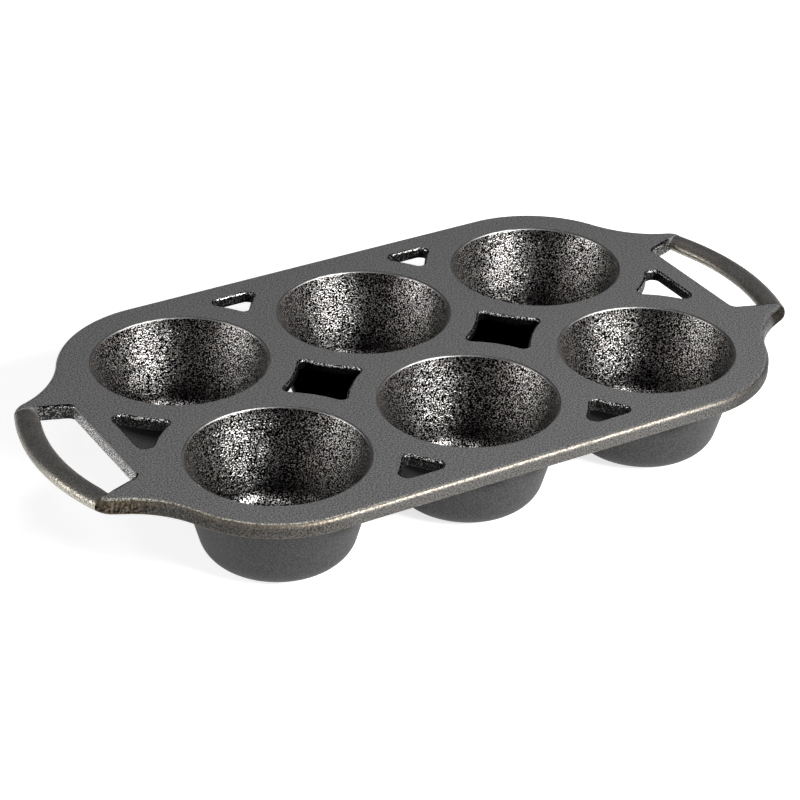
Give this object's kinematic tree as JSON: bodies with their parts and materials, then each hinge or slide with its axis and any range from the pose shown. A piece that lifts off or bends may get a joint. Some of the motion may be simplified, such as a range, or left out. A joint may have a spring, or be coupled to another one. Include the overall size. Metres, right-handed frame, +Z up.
{
  "type": "muffin pan",
  "caption": "Cast iron muffin pan: round tapered cups hang from a flat deck pierced with diamond and triangular windows, and a bowed bar at each end makes a handle.",
  "frame": {"origin": "centre of the pan's footprint, on the surface that the cups stand on", "axes": "+X along the pan's length towards the right handle, +Y towards the back row of cups, +Z up out of the cups"},
  "size_m": [0.394, 0.2174, 0.051],
  "materials": {
    "deck_iron": "matte fine-grained sand-cast surface, lightly seasoned, worn bright along the outer edge",
    "cup_iron": "black seasoned surface, glossy and pebbled inside, dull outside",
    "handle_iron": "smoother, brownish seasoned surface with a soft sheen"
  },
  "bodies": {
    "root": {"deck": "deck_iron", "cup_front_left": "cup_iron", "cup_front_middle": "cup_iron", "cup_front_right": "cup_iron", "cup_back_left": "cup_iron", "cup_back_middle": "cup_iron", "cup_back_right": "cup_iron", "handle_left": "handle_iron", "handle_right": "handle_iron"}
  },
  "joints": []
}
